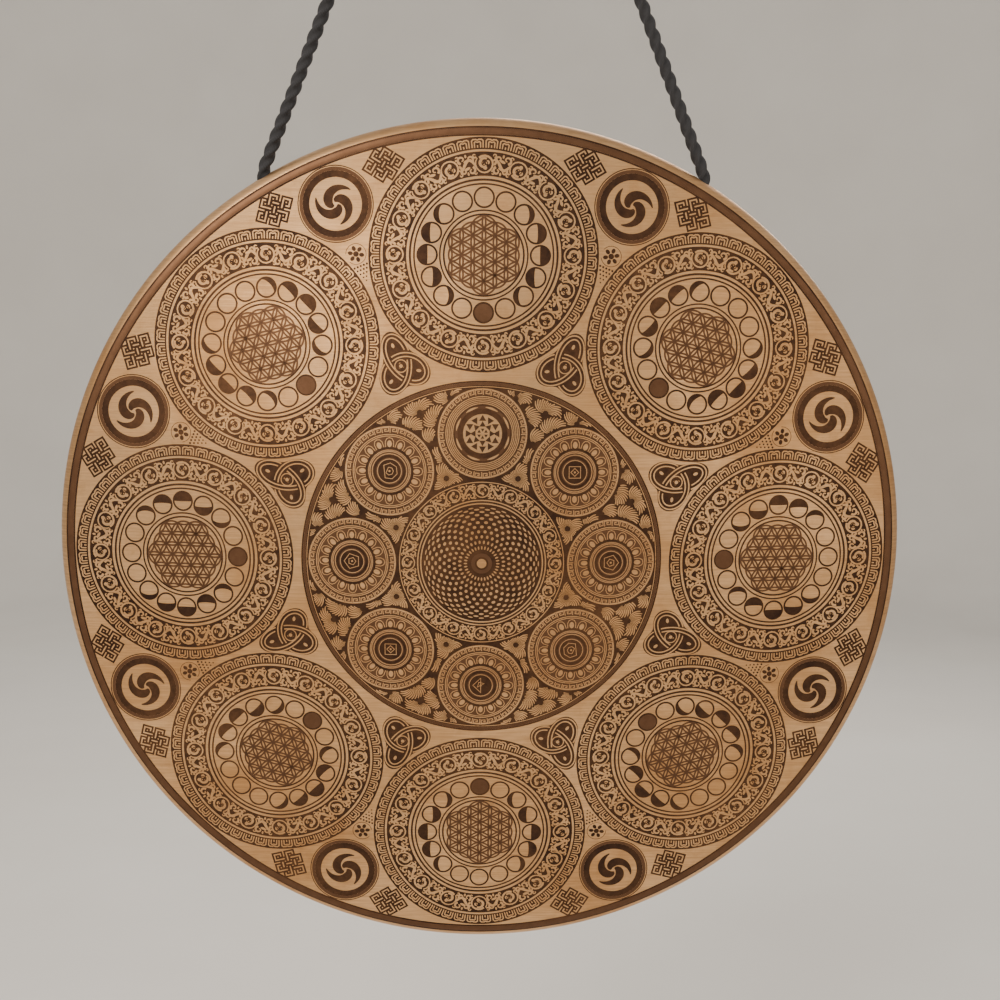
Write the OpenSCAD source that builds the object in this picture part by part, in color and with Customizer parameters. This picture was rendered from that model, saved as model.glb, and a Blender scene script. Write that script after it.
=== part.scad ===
// Large tam tam gong: one hammered bronze sheet with a turned-back rim,
// hung by two ropes from a pair of screw hooks in a beam overhead.
// +Z is up, the striking face looks along -Y, +X is to the right.
// The origin lies on the underside of the beam, midway between the hooks.

/* [Gong] */
// Diameter over the rim
gong_d = 800; // [795:1:802]
// How far the middle of the face stands out in front of its edge
dome_h = 40; // [20:1:60]
// Thickness of the hammered sheet
sheet_t = 2.2; // [1.8:0.1:2.6]
// Outer radius of the bend between the face and the rim
corner_r = 16; // [15:0.5:17]
// Depth of the rim behind the edge of the face
rim_depth = 38; // [34:1:60]
// How far the rim closes in towards the back, in degrees
rim_taper = 3; // [0:0.5:4]

/* [Rope holes] */
// Angle of each rope hole from the top of the rim
hole_angle = 30; // [29.5:0.5:30.5]
// Radius of the rope holes
hole_r = 9; // [8.5:0.1:9.5]
// Depth of the holes behind the edge of the face
hole_depth = 18; // [17.5:0.1:18.5]

/* [Ropes] */
// Diameter of the rope
rope_d = 12; // [10:0.5:12]
// Radius of the bend where the rope turns up out of a hole
bend_r = 24; // [24:0.5:26]
// Radius of the stopper knots inside the rim
stopper_r = 15; // [13:0.5:15]
// Length of the knot that closes each eye
knot_len = 42; // [36:1:44]
// Width of the knot that closes each eye
knot_w = 30; // [26:1:32]

/* [Hooks] */
// Distance between the two hooks
hook_spacing = 190; // [190:1:191]
// Diameter of the hook wire and its shank
wire_d = 8; // [6:0.5:8]
// Radius of the hook's bow at the middle of the wire
bow_r = 18; // [17.5:0.5:18.5]
// Drop from the beam to the middle of the bow
hook_drop = 30; // [29.5:0.5:30.5]
// Length of the shank that goes into the beam
shank_len = 32; // [20:1:50]
// Diameter of the collar under the beam
collar_d = 18; // [14:1:24]
// Thickness of that collar
collar_t = 3; // [2:0.5:4]

/* [Hidden] */
$fn = 96;

// The rope leaves the bend of a hole at the first point of its route and
// runs up and inwards in one straight line. These are the points of the
// right-hand rope, and the left-hand one is its mirror image.
rope_route = [[199, 0, -290], [187, 0, -260], [175, 0, -230], [163, 0, -200],
              [151, 0, -170], [139, 0, -140], [135, 0, -130]];
rope_sides = 12;
rope_r = rope_d / 2;
flex_gap = 1.8;                  // play at the flexing point above a hole
knot_play = 0.4;                 // play between a stopper knot and the rim
knot_shift = 0.5;                // degrees a stopper knot sits outside its hole
eye_play = 0.8;                  // play between an eye and the wire of its hook
leg_in = 4.5;                    // how far the legs of an eye close in below it
leg_seat = 6;                    // length of each leg inside the knot
leg_thin = 0.3;                  // pull of the knot takes this off a leg's radius
eye_swell = 0.4;                 // the rope bulges by this where an eye starts
bow_turn = 285;                  // degrees the bow of a hook goes round
tip_swell = 1.5;                 // the rounded tip is this much over the wire
neck_swell = 1.2;                // weld bead at the neck, over the wire
route_start = rope_route[0];
route_end = rope_route[len(rope_route) - 1];
rope_rise = route_end[2] - route_start[2];
rope_run = route_start[0] - route_end[0];
rope_lean = atan2(rope_run, rope_rise);

// Place of the gong. It hangs with its middle of mass straight below the
// points where the ropes flex, so its top leans a little to the front.
gong_r = gong_d / 2;
pivot_x = route_start[0];
pivot_z = route_start[2];
pivot_up = 356;                  // flexing point above the gong's own centre
hang_tilt = 4.1;
face_r = gong_r - corner_r;

// Height of the face at a distance r from the middle, to the front
function dome(r) = -dome_h * pow(1 - pow(r / gong_r, 2), 2);

// Half section of the sheet, as [radius, depth], set in by t from its front
function section(t) = concat(
    [for (i = [0 : 24]) let (r = face_r * i / 24) [r, dome(r) + t]],
    [for (i = [1 : 10]) let (a = (90 - rim_taper) * i / 10)
        [face_r + (corner_r - t) * sin(a),
         dome(face_r) + corner_r - (corner_r - t) * cos(a)]],
    [[gong_r - t - (rim_depth - corner_r) * tan(rim_taper), rim_depth]]);

module reversed_section() {
    polygon(concat(section(0), [for (i = [len(section(0)) - 1 : -1 : 0])
        section(sheet_t)[i]]));
}

// Puts a piece made about the gong's own centre, with its axis along Y and
// the edge of the face at y = 0, where the gong hangs
module hang() {
    translate([0, 0, pivot_z]) rotate([hang_tilt, 0, 0])
        translate([0, -hole_depth, -pivot_up]) children();
}

// Points of one ring of the rope about a point of its route
function ring(p, lean) = [for (i = [0 : rope_sides - 1])
    let (a = 360 * i / rope_sides, u = rope_r * cos(a))
    [p[0] + u * cos(lean), p[1] + rope_r * sin(a), p[2] + u * sin(lean)]];

module sweep_rope(route, lean) {
    n = rope_sides;
    m = len(route);
    rings = [for (p = route) each ring(p, lean)];
    sides = [for (k = [0 : m - 2], i = [0 : n - 1]) let (j = (i + 1) % n)
        [k * n + i, (k + 1) * n + i, (k + 1) * n + j, k * n + j]];
    bottom = [for (i = [0 : n - 1]) i];
    top = [for (i = [n - 1 : -1 : 0]) (m - 1) * n + i];
    polyhedron(points = rings, faces = concat([bottom], sides, [top]),
        convexity = 2);
}

// Hammered bronze face and rim with its two rope holes
module gong() {
    color("peru") hang() difference() {
        rotate([-90, 0, 0]) rotate_extrude($fn = 180) reversed_section();
        for (side = [-1, 1])
            rotate([0, side * hole_angle, 0])
                translate([0, hole_depth, face_r])
                    cylinder(r = hole_r, h = 2 * corner_r);
    }
}

// Knot inside the rim, with the rope end that turns up through the hole
module stopper_right() {
    turn = hole_angle + rope_lean;
    color("#17171a") hang() translate([0, hole_depth, 0]) {
        translate([pivot_x, 0, pivot_up]) rotate([0, -rope_lean, 0])
            translate([-bend_r, 0, 0]) rotate([90, 0, 0])
                rotate([0, 0, -turn]) rotate_extrude(angle = turn, $fn = 96)
                    translate([bend_r, 0]) circle(r = rope_r, $fn = 32);
        rotate([0, hole_angle + knot_shift, 0])
            translate([0, 0, gong_r - sheet_t - stopper_r - knot_play])
                sphere(r = stopper_r, $fn = 64);
    }
}
module stopper_left() { mirror([1, 0, 0]) stopper_right(); }

// Straight stretch of rope from a hole up to the knot of its eye
module cord_right() {
    up = [-sin(rope_lean), 0, cos(rope_lean)];
    route = concat([route_start + flex_gap * up],
        [for (i = [1 : len(rope_route) - 1]) rope_route[i]]);
    color("#17171a") sweep_rope(route, rope_lean);
}
module cord_left() { mirror([1, 0, 0]) cord_right(); }

// Eye of rope over the hook, and the knot that closes it
module loop_right() {
    eye_r = wire_d / 2 + rope_r + eye_play;
    saddle_x = hook_spacing / 2 + bow_r * sin(rope_lean);
    saddle_z = -hook_drop - bow_r * cos(rope_lean);
    knot_top = norm([saddle_x - route_end[0], saddle_z - route_end[2]]) - knot_len;
    leg_len = norm([knot_top + leg_seat, eye_r - leg_in]);
    leg_lean = atan2(eye_r - leg_in, knot_top + leg_seat);
    color("#17171a") translate([saddle_x, 0, saddle_z])
        rotate([0, -rope_lean, 0]) {
            rotate([90, 0, 90]) rotate_extrude(angle = 180, $fn = 64)
                translate([eye_r, 0]) circle(r = rope_r, $fn = 32);
            for (side = [-1, 1]) translate([0, side * eye_r, 0]) {
                sphere(r = rope_r + eye_swell, $fn = 48);
                rotate([180 - side * leg_lean, 0, 0])
                    cylinder(r = rope_r - leg_thin, h = leg_len, $fn = 32);
            }
            translate([0, 0, -knot_top - knot_len / 2])
                rotate_extrude($fn = 48) intersection() {
                    scale([1, knot_len / knot_w]) circle(d = knot_w, $fn = 48);
                    translate([0, -knot_len / 2]) square([knot_w, knot_len]);
                }
        }
}
module loop_left() { mirror([1, 0, 0]) loop_right(); }

// Steel screw hook: shank, collar, neck, open bow and rounded tip
module hook_right() {
    color("silver") translate([hook_spacing / 2, 0, 0]) {
        cylinder(d = wire_d, h = shank_len);
        translate([0, 0, -collar_t]) cylinder(d = collar_d, h = collar_t);
        translate([0, 0, -hook_drop + bow_r])
            cylinder(d = wire_d, h = hook_drop - bow_r);
        translate([0, 0, -hook_drop]) rotate([90, 0, 0]) {
            rotate([0, 0, 90]) rotate_extrude(angle = bow_turn, $fn = 96)
                translate([bow_r, 0]) circle(d = wire_d, $fn = 32);
            rotate([0, 0, 90 + bow_turn]) translate([bow_r, 0])
                sphere(d = wire_d + tip_swell, $fn = 32);
            translate([0, bow_r]) sphere(d = wire_d + neck_swell, $fn = 32);
        }
    }
}
module hook_left() { mirror([1, 0, 0]) hook_right(); }

gong();
stopper_left();
stopper_right();
cord_left();
cord_right();
loop_left();
loop_right();
hook_left();
hook_right();
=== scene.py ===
import math

import bpy
import numpy as np
from mathutils import Matrix, Vector


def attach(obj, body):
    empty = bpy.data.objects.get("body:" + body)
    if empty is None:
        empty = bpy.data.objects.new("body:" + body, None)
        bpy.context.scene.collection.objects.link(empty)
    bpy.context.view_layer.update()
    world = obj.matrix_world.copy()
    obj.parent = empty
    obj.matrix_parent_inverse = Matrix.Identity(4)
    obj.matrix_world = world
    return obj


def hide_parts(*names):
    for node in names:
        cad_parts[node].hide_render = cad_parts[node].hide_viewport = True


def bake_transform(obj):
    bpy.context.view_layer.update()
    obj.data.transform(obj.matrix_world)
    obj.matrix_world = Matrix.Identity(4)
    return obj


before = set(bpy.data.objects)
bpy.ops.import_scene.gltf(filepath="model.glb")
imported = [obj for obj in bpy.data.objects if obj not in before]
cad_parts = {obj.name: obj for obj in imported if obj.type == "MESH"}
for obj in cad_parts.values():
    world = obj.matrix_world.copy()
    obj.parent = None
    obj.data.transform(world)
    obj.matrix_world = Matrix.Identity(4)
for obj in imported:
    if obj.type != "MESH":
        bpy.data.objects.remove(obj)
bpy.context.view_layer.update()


# ------------------------------ Camera
# It stands in front of the gong, level with its upper half, and looks a little
# down at it, so that the ropes leave the view below their knots and hooks.
eye = Vector((-0.0035, -1.182, -0.455))
pan, tilt, roll = (math.radians(angle) for angle in (0.99, -6.71, 0.51))
ahead = Vector((math.sin(pan) * math.cos(tilt), math.cos(pan) * math.cos(tilt), math.sin(tilt)))
level = Vector((math.cos(pan), -math.sin(pan), 0))
upright = level.cross(ahead)
right = level * math.cos(roll) + upright * math.sin(roll)
up = upright * math.cos(roll) - level * math.sin(roll)
camera_data = bpy.data.cameras.new("camera")
camera_data.lens = 45.65
camera = bpy.data.objects.new("camera", camera_data)
camera.matrix_world = Matrix.Translation(eye) @ Matrix((right, up, -ahead)).transposed().to_4x4()
bpy.context.scene.collection.objects.link(camera)
bpy.context.scene.camera = camera


# ------------------------------ Ropes
# One black three-strand rope on each side, 12 mm thick. It comes out of its
# stopper knot behind the rim, through the hole, and runs up and inwards under
# the gong's weight into the knot of its eye.
ROPE_D = 12.0
GONG_R = 400.0  # outside of the gong's rim
LAY = 40.0  # length of one full turn of a strand
STRAND_R = 2.785  # three touching strands inside 12 mm
STRAND_OUT = 3.215  # middle of a strand from the middle of the rope
GROOVE_R = 4.3  # how deep the grooves between strands go
ROPE_ROUTE = [(199, 0, -290), (187, 0, -260), (175, 0, -230), (163, 0, -200),
              (151, 0, -170), (139, 0, -140), (135, 0, -130)]
BEND_R = 24.0  # bend where the rope turns up out of the hole
HOLE_ANGLE = math.radians(30)  # each hole, from the top of the rim
HOLE_DEPTH = 18.0  # holes behind the edge of the face
HANG_TILT = math.radians(4.1)  # the hung gong leans its top to the front
PIVOT_UP = 356.0  # flexing point above the gong's own centre
YARN_MM = 1.3  # yarn width on the rope's surface
PATH_STEP = 1.5  # between two points of a rope's path
END_ROUND = 3  # a cut end is rounded over this length


def unit(vectors):
    """The same vectors at length one."""
    return vectors / np.linalg.norm(vectors, axis=-1, keepdims=True)


def joined(*parts):
    """Points put together from their coordinates."""
    return np.stack(np.broadcast_arrays(*parts), -1)


def full_turn(count):
    """Even angles round a full turn."""
    return np.linspace(0, 2 * math.pi, count, endpoint=False)


def hung(points):
    """Points about the gong's own centre, put where the hung gong has them."""
    out, above = points[..., 1] - HOLE_DEPTH, points[..., 2] - PIVOT_UP
    cos, sin = math.cos(HANG_TILT), math.sin(HANG_TILT)
    return joined(points[..., 0], out * cos - above * sin, ROPE_ROUTE[0][2] + out * sin + above * cos)


def even(path, step):
    """The same path with its points one step apart."""
    path = np.asarray(path, float)
    along = np.concatenate([[0], np.cumsum(np.linalg.norm(np.diff(path, axis=0), axis=1))])
    places = np.linspace(0, along[-1], max(3, round(along[-1] / step) + 1))
    return joined(*[np.interp(places, along, path[:, k]) for k in range(3)])


def eased(path, rounds):
    """A path with its corners worked round, as a rope takes them."""
    path = even(path, PATH_STEP)
    for _ in range(rounds):
        path[1:-1] = (path[:-2] + 2 * path[1:-1] + path[2:]) / 4
    return even(path, PATH_STEP)


def swept(path, rings):
    """Points of a tube: each ring's offsets, put across the path without twist."""
    along = unit(np.gradient(path, axis=0))
    across = np.empty_like(path)
    guess = np.array([0.0, 1.0, 0.0]) if abs(along[0][1]) < 0.9 else np.array([1.0, 0.0, 0.0])
    across[0] = unit(np.cross(along[0], guess))
    for i in range(1, len(path)):
        across[i] = unit(across[i - 1] - (across[i - 1] @ along[i]) * along[i])
    third = np.cross(along, across)
    return path[:, None] + rings[..., :1] * across[:, None] + rings[..., 1:] * third[:, None]


def ring_quads(rings, sides):
    """Quads between following rings of points."""
    i, j = np.meshgrid(np.arange(rings - 1), np.arange(sides), indexing="ij")
    k = (j + 1) % sides
    return joined(i * sides + j, i * sides + k, (i + 1) * sides + k, (i + 1) * sides + j)


def tube_faces(rings, sides):
    """Quads along a tube and one face over each of its ends."""
    ends = [list(range(sides))[::-1], list(range((rings - 1) * sides, rings * sides))]
    return ring_quads(rings, sides).reshape(-1, 4).tolist() + ends


def make(name, points, faces, finishes, sharp=35):
    """A mesh object from points in millimetres, smooth but for its sharp edges."""
    mesh = bpy.data.meshes.new(name)
    mesh.from_pydata((np.asarray(points).reshape(-1, 3) / 1000).tolist(), [], faces)
    mesh.polygons.foreach_set("use_smooth", [True] * len(faces))
    mesh.set_sharp_from_angle(angle=math.radians(sharp))
    for finish in finishes:
        mesh.materials.append(finish)
    made = bpy.data.objects.new(name, mesh)
    bpy.context.scene.collection.objects.link(made)
    return made


def laid_rope(name, path, finish, scale=1.0):
    """Three strands laid into a rope along a path, with the twist in its shape."""
    sides = 42
    along = np.concatenate([[0], np.cumsum(np.linalg.norm(np.diff(path, axis=0), axis=1))])
    around = full_turn(sides)
    turned = around[None] - 2 * math.pi * along[:, None] / LAY
    third = 2 * math.pi / 3
    off = (turned % third) - third / 2
    inside = np.maximum(STRAND_R ** 2 - (STRAND_OUT * np.sin(off)) ** 2, 0)
    radius = np.maximum(STRAND_OUT * np.cos(off) + np.sqrt(inside), GROOVE_R) * scale
    end = np.minimum(along, along[-1] - along)[:, None] / END_ROUND
    radius = radius * np.sqrt(np.clip(1 - (1 - np.clip(end, 0, 1)) ** 2, 0.15, 1))
    points = swept(path, joined(radius * np.cos(around), radius * np.sin(around)))
    rope = make(name, points, tube_faces(len(path), sides), [finish], sharp=80)
    marks = np.stack([np.repeat(along, sides), np.tile(np.arange(sides), len(path))], -1)
    layer = rope.data.uv_layers.new(name="laid")
    corners = np.empty(len(rope.data.loops), int)
    rope.data.loops.foreach_get("vertex_index", corners)
    uv = marks[corners] / np.array([LAY, sides])
    faces = np.repeat(np.arange(len(rope.data.polygons)), [p.loop_total for p in rope.data.polygons])
    low, high = np.full(faces[-1] + 1, 9.0), np.zeros(faces[-1] + 1)
    np.minimum.at(low, faces, uv[:, 1])
    np.maximum.at(high, faces, uv[:, 1])
    uv[(high[faces] - low[faces] > 0.5) & (uv[:, 1] < 0.5), 1] += 1
    layer.data.foreach_set("uv", uv.ravel())
    return rope


def colour(code):
    """An sRGB hex colour as the linear one that a shader takes."""
    parts = [int(code[i:i + 2], 16) / 255 for i in (1, 3, 5)]
    return [p / 12.92 if p <= 0.04045 else ((p + 0.055) / 1.055) ** 2.4 for p in parts] + [1.0]


def add(tree, kind, sockets, **settings):
    """Adds a shader node with its settings, and fills its sockets with values or links."""
    made = tree.nodes.new("ShaderNode" + kind)
    for name, value in settings.items():
        setattr(made, name, value)
    for name, value in sockets.items():
        if isinstance(value, bpy.types.NodeSocket):
            tree.links.new(value, made.inputs[name])
        else:
            made.inputs[name].default_value = value
    return made


def new_finish(name, roughness, metallic):
    """A material, its node tree, its shader, and its place on the object for patterns."""
    made = bpy.data.materials.new(name)
    made.use_nodes = True
    skin = made.node_tree.nodes["Principled BSDF"]
    skin.inputs["Roughness"].default_value = roughness
    skin.inputs["Metallic"].default_value = metallic
    return made, made.node_tree, skin, add(made.node_tree, "TexCoord", {}).outputs["Object"]


# Black polyester cord, spun and laid: matt, with a soft sheen on the high side
# of each strand, and fine yarns that run almost straight along the rope.
black_rope, tree, skin, place = new_finish("black_laid_polyester", 0.78, 0.0)
skin.inputs["Sheen Weight"].default_value = 0.35
skin.inputs["Sheen Roughness"].default_value = 0.5
skin.inputs["Sheen Tint"].default_value = colour("#6A6A72")
laid = add(tree, "TexCoord", {}).outputs["UV"]
yarn_scale = math.pi * ROPE_D / YARN_MM * math.pi / 10
yarns = add(tree, "TexWave", {"Vector": laid, "Scale": yarn_scale, "Distortion": 1.6,
                              "Detail": 2.0, "Detail Scale": 1.5}, bands_direction="Y")
fuzz = add(tree, "TexNoise", {"Vector": place, "Scale": 900.0, "Detail": 3.0})
fleck = add(tree, "Math", {0: yarns.outputs["Fac"], 1: fuzz.outputs["Fac"]}, operation="MULTIPLY")
shade = add(tree, "Mix", {0: fleck.outputs[0], 6: colour("#0D0D0F"), 7: colour("#34343A")},
            data_type="RGBA")
tree.links.new(shade.outputs[2], skin.inputs["Base Color"])
pile = add(tree, "Bump", {"Height": fleck.outputs[0], "Strength": 0.6, "Distance": 0.0005})
tree.links.new(pile.outputs["Normal"], skin.inputs["Normal"])

rope_lean = math.atan2(ROPE_ROUTE[0][0] - ROPE_ROUTE[-1][0], ROPE_ROUTE[-1][2] - ROPE_ROUTE[0][2])
run_up = np.array([-math.sin(rope_lean), 0, math.cos(rope_lean)])
bend_x = ROPE_ROUTE[0][0] - BEND_R * math.cos(rope_lean)
bend_z = PIVOT_UP - BEND_R * math.sin(rope_lean)
hole_out = np.array([math.sin(HOLE_ANGLE), math.cos(HOLE_ANGLE)])
IN_KNOT = 11.0  # rope between its stopper's middle and the bend
IN_EYE_KNOT = 26.0  # rope that goes on inside the knot of the eye
turn = np.linspace(-HOLE_ANGLE, rope_lean, 16)
bend = joined(bend_x + BEND_R * np.cos(turn), HOLE_DEPTH, bend_z + BEND_R * np.sin(turn))
tail = bend[0] - IN_KNOT * np.array([hole_out[0], 0, hole_out[1]])
top = np.array(ROPE_ROUTE[-1], float)
rope_path = np.vstack([hung(np.vstack([tail, bend])), ROPE_ROUTE[1:], top + IN_EYE_KNOT * run_up])
rope_path = even(rope_path, PATH_STEP)
MIRROR = {"right": np.array([1.0, 1, 1]), "left": np.array([-1.0, 1, 1])}

ropes = {}
for side, flip in MIRROR.items():
    ropes[side] = laid_rope("rope_" + side, rope_path * flip, black_rope)
    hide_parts("cord_" + side)


# ------------------------------ Eyes and knots
# The rope's upper end goes over the hook as an eye and is closed by a barrel
# knot of three turns. Its lower end stops behind the rim in a shorter knot.
# Both are the same rope, pulled tight, with a short sealed tail.
EYE_R = 10.8  # middle of the rope from the hook's wire
SADDLE = np.array([101.685, 0, -46.713])
KNOT_TOP = 47.7  # top of the eye's knot below the wire
COIL_R = 9.3  # middle of the wound rope from the knot's axis
LEG_IN = 4.6  # the two legs inside the knot
EYE_KNOT = (42.0, 3, 4.5)  # its height, turns of rope and length of tail
STOPPER = (29.0, 2, 12)  # the same of the stopper knot
STOPPER_HALF = 15.0
STOPPER_TURN = math.radians(30.5)  # its middle, from the top of the rim
SHEET_T = 2.2  # thickness of the gong's sheet
START = 0.6  # where a knot's first turn starts, in radians


def wound(bottom, axis, height, turns, tail_len):
    """Path of a rope wound round an axis, tucked in at the top, its tail hanging."""
    side = unit(np.cross(axis, np.array([0, 1.0, 0])))
    front = np.cross(side, axis)
    share = np.linspace(0, 1, 120)
    angle = 2 * math.pi * turns * share + START
    radius = COIL_R - 4.5 * np.clip((share - 0.9) / 0.1, 0, 1) ** 1.5
    rise = ROPE_D / 2 + (height - ROPE_D) * share
    coil = (bottom + rise[:, None] * axis + (radius * np.cos(angle))[:, None] * side
            + (radius * np.sin(angle))[:, None] * front)
    down = np.linspace(tail_len, 4, 6)[:, None]
    out = math.cos(START) * side + math.sin(START) * front
    loose = bottom + (COIL_R + 0.6) * out - down * axis + rise[0] * axis
    return eased(np.vstack([loose, coil]), 12)


over = np.linspace(0, math.pi, 25)
down = np.linspace(4, KNOT_TOP + 14, 20)
leg_y = LEG_IN + (EYE_R - LEG_IN) * np.clip(1 - (down / (KNOT_TOP + 4)), 0, 1) ** 1.25
to_back = np.array([0, 1.0, 0])
arch = SADDLE + EYE_R * (np.cos(over)[:, None] * to_back + np.sin(over)[:, None] * run_up)
leg = SADDLE - down[:, None] * run_up + leg_y[:, None] * to_back
eye_path = eased(np.vstack([leg[::-1], arch, leg * np.array([1.0, -1, 1])]), 6)
stop_r = GONG_R - SHEET_T - STOPPER_HALF - 0.4
knot_axis = hung(np.array([[0, 0, 0], [hole_out[0], 0, hole_out[1]]]))
knot_axis = knot_axis[1] - knot_axis[0]
stop_middle = hung(np.array([stop_r * math.sin(STOPPER_TURN), HOLE_DEPTH, stop_r * math.cos(STOPPER_TURN)]))
eye_knot = wound(top, run_up, *EYE_KNOT)
stopper_knot = wound(stop_middle - STOPPER_HALF * knot_axis, knot_axis, *STOPPER)
for side, flip in MIRROR.items():
    loop = laid_rope("eye_" + side, eye_path * flip, black_rope, scale=0.97)
    knot = laid_rope("eye_knot_" + side, eye_knot * flip, black_rope, scale=0.93)
    stopper = laid_rope("stopper_knot_" + side, stopper_knot * flip, black_rope, scale=0.9)
    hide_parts("loop_" + side)
    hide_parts("loop_" + side)
    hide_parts("stopper_" + side)
    for made, body in ((loop, "ropes"), (knot, "ropes"), (stopper, "gong")):
        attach(made, body)
    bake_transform(ropes[side])


# ------------------------------ Gong sheet
# One sheet of bronze, beaten out by hand over a form and turned back all round
# for its rim. The face is gently domed, brushed, and still shows soft hammer
# marks. Two drilled holes in the rim take the ropes.
DOME_H = 40.0
CORNER_R = 16.0
RIM_DEPTH = 38.0
RIM_TAPER = math.radians(3)
HOLE_R = 9.0
FACE_R = GONG_R - CORNER_R
AROUND = 480  # steps round the sheet
EDGE_ROWS = 20  # its last rows, which hold the bend and the rim
HAMMER_MM = (42.0, 120.0)  # distance between hammer marks
HAMMER_DEPTH = 0.2  # their usual depth
HAMMER_FADE = 30  # they fade out over this width before the bend

draw = np.random.default_rng(21)
marks_n = 36
mark_turn = draw.uniform(0, 2 * math.pi, marks_n)
mark_length = draw.uniform(*HAMMER_MM, marks_n)
mark_shift = draw.uniform(0, 2 * math.pi, marks_n)
mark_x = 2 * math.pi * np.cos(mark_turn) / mark_length
mark_z = 2 * math.pi * np.sin(mark_turn) / mark_length
mark_deep = HAMMER_DEPTH * np.sqrt(2 / marks_n) * (mark_length / mark_length.mean())


def hammered(x, z):
    """How far the hammer left the sheet off its true shape, none at the rim."""
    total = np.zeros_like(x)
    for wave_x, wave_z, shift, deep in zip(mark_x, mark_z, mark_shift, mark_deep):
        total += deep * np.cos(wave_x * x + wave_z * z + shift)
    return total * np.clip((FACE_R - 2 - np.hypot(x, z)) / HAMMER_FADE, 0, 1)


def face_depth(x, z, inset=0.0):
    """Depth of the face at a place, counted to the back from its edge."""
    r = np.hypot(x, z)
    dome = -DOME_H * (1 - np.minimum(r, FACE_R) ** 2 / GONG_R ** 2) ** 2
    over_edge = np.clip(r - FACE_R, 0, CORNER_R - inset)
    corner = CORNER_R - np.sqrt((CORNER_R - inset) ** 2 - over_edge ** 2) - inset
    return dome + inset + corner + hammered(x, z)


def shell(inset, radii):
    """Rings of one side of the sheet: face, corner and rim."""
    turn = full_turn(AROUND)
    x, z = np.outer(radii, np.sin(turn)), np.outer(radii, np.cos(turn))
    face = joined(x, face_depth(x, z, inset), z)
    last = math.pi / 2 - RIM_TAPER
    bent = np.linspace(0, last, 11)[1:]
    edge = -DOME_H * (1 - FACE_R ** 2 / GONG_R ** 2) ** 2
    start_r = FACE_R + (CORNER_R - inset) * math.sin(last)
    start_y = edge + CORNER_R - (CORNER_R - inset) * math.cos(last)
    back = np.linspace(0, 1, 10)[1:]
    profile_r = np.concatenate([FACE_R + (CORNER_R - inset) * np.sin(bent),
                                start_r - back * (RIM_DEPTH - start_y) * math.tan(RIM_TAPER)])
    profile_y = np.concatenate([edge + CORNER_R - (CORNER_R - inset) * np.cos(bent),
                                start_y + back * (RIM_DEPTH - start_y)])
    rim = joined(np.outer(profile_r, np.sin(turn)), profile_y[:, None], np.outer(profile_r, np.cos(turn)))
    return np.vstack([face, rim])


front, back = shell(0.0, np.linspace(4, FACE_R, 97)), shell(SHEET_T, np.linspace(4, FACE_R, 60))
front_rows, back_rows = len(front), len(back)
front_quads = ring_quads(front_rows, AROUND)[..., ::-1]
back_quads = ring_quads(back_rows, AROUND) + front_rows * AROUND

# The drilled holes: a window of quads on both sides of the rim gives way to a
# round edge, and the two edges are joined through the sheet.
COLUMNS, ROWS = 3, 5  # half of the window's quads each way
points = [front.reshape(-1, 3), back.reshape(-1, 3)]
count = (front_rows + back_rows) * AROUND
hole_faces = []
edges_of_hole = {}
for hole_turn in (HOLE_ANGLE, 2 * math.pi - HOLE_ANGLE):
    middle = round(hole_turn / (2 * math.pi) * AROUND)
    for which, rings, rows, start, quads in (("out", front, front_rows, 0, front_quads),
                                             ("in", back, back_rows, front_rows * AROUND, back_quads)):
        depths = rings[:, 0, 1]
        row = rows - EDGE_ROWS + int(np.argmin(np.abs(depths[-EDGE_ROWS:] - HOLE_DEPTH)))
        top_row, low_row = row - ROWS, row + ROWS
        first, last = middle - COLUMNS, middle + COLUMNS
        quads[top_row:low_row, first:last] = -1
        window = ([(top_row, c) for c in range(first, last)] + [(r, last) for r in range(top_row, low_row)]
                  + [(low_row, c) for c in range(last, first, -1)]
                  + [(r, first) for r in range(low_row, top_row, -1)])
        border = [start + r * AROUND + c for r, c in window]
        outline = np.array([rings[r, c] for r, c in window])
        wall = GONG_R - (SHEET_T if which == "in" else 0.0)
        offset_x = wall * (np.arctan2(outline[:, 0], outline[:, 2]) % (2 * math.pi) - hole_turn)
        aim = np.arctan2(outline[:, 1] - HOLE_DEPTH, offset_x)
        deep = HOLE_DEPTH + HOLE_R * np.sin(aim)
        sunk = np.clip(CORNER_R - deep, 0, None)
        wall_r = FACE_R + np.sqrt((wall - FACE_R) ** 2 - sunk ** 2)
        beyond = np.clip(deep - CORNER_R, 0, None)
        wall_r = wall_r - beyond * math.tan(RIM_TAPER)
        around = hole_turn + np.arcsin(HOLE_R * np.cos(aim) / wall_r)
        points.append(joined(wall_r * np.sin(around), deep, wall_r * np.cos(around)))
        circle = list(range(count, count + len(window)))
        count += len(window)
        edges_of_hole[which] = circle
        for a in range(len(window)):
            b = (a + 1) % len(window)
            quad = [border[a], border[b], circle[b], circle[a]]
            hole_faces.append(quad[::-1] if which == "out" else quad)
    out, inner = edges_of_hole["out"], edges_of_hole["in"]
    hole_faces += [[out[a], out[(a + 1) % len(out)], inner[(a + 1) % len(out)], inner[a]][::-1]
                   for a in range(len(out))]

wrap = np.arange(AROUND)
nxt = (wrap + 1) % AROUND
out_edge, in_edge = (front_rows - 1) * AROUND, (front_rows + back_rows - 1) * AROUND
rim_edge = joined(out_edge + wrap, in_edge + wrap, in_edge + nxt, out_edge + nxt)
both_sides = np.vstack([front_quads.reshape(-1, 4), back_quads.reshape(-1, 4)])
sheet_faces = both_sides[both_sides[:, 0] >= 0].tolist() + rim_edge.tolist() + hole_faces
sheet_faces += [wrap.tolist(), (front_rows * AROUND + wrap[::-1]).tolist()]

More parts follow.
